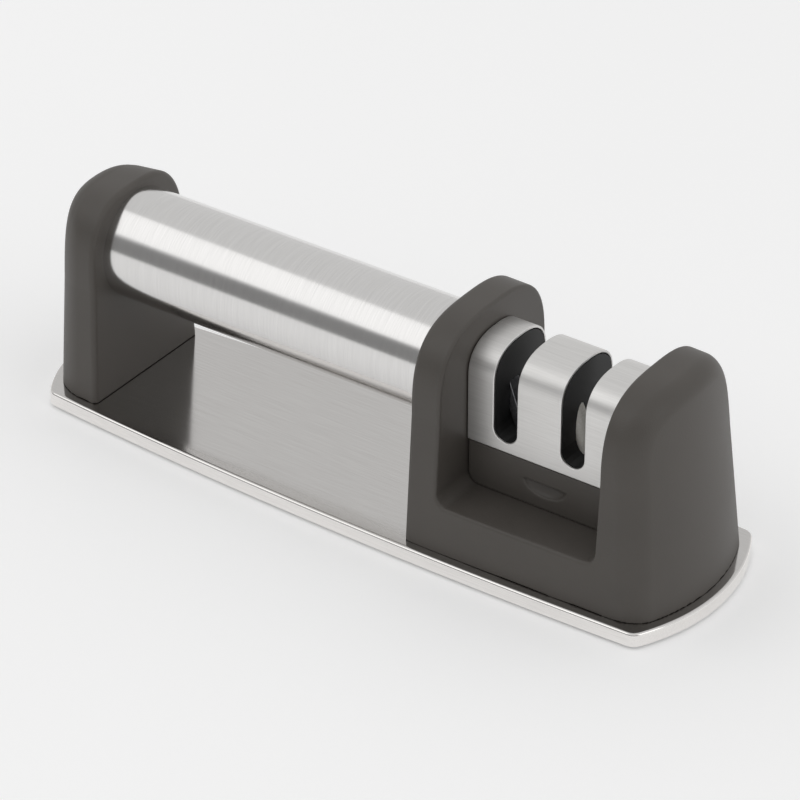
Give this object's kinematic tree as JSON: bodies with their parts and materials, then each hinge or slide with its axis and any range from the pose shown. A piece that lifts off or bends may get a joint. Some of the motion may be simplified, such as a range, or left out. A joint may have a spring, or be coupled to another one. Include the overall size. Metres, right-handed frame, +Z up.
{
  "type": "knife sharpener",
  "caption": "Bench-top pull-through knife sharpener with a steel tube handle, a slotted steel-covered cartridge that lifts out of a black head, and a steel plate on a rubber mat.",
  "frame": {"origin": "under the middle of the base, on the surface that the sharpener stands on", "axes": "+X along the handle towards the sharpening head, +Y across, +Z up"},
  "size_m": [0.215, 0.062, 0.0689],
  "materials": {
    "plate_steel": "polished, lightly brushed along its length",
    "tube_steel": "brushed round the tube, bright",
    "cover_steel": "brushed",
    "black_plastic": "fine moulded grain",
    "mat_rubber": "matt, fine ribs",
    "carbide": "ground",
    "ceramic": "unglazed, fine",
    "screw_zinc": "zinc plated"
  },
  "bodies": {
    "stand": {"base_plate": "plate_steel", "non_slip_mat": "mat_rubber", "end_post": "black_plastic", "head_housing": "black_plastic", "handle_tube": "tube_steel", "head_screw_1": "screw_zinc", "head_screw_2": "screw_zinc", "head_screw_3": "screw_zinc", "head_screw_4": "screw_zinc", "post_screw_1": "screw_zinc", "post_screw_2": "screw_zinc"},
    "cartridge": {"cartridge_foot": "black_plastic", "rod_holder": "black_plastic", "cartridge_cover": "cover_steel", "carbide_bar_front": "carbide", "carbide_bar_back": "carbide", "ceramic_rod_front": "ceramic", "ceramic_rod_back": "ceramic", "cartridge_screw_1": "screw_zinc", "cartridge_screw_2": "screw_zinc"}
  },
  "joints": [
    {"name": "cartridge_lift", "type": "slide", "parent": "stand", "child": "cartridge", "axis": [0, 0, 1], "range_m": [0, 0.057]}
  ]
}
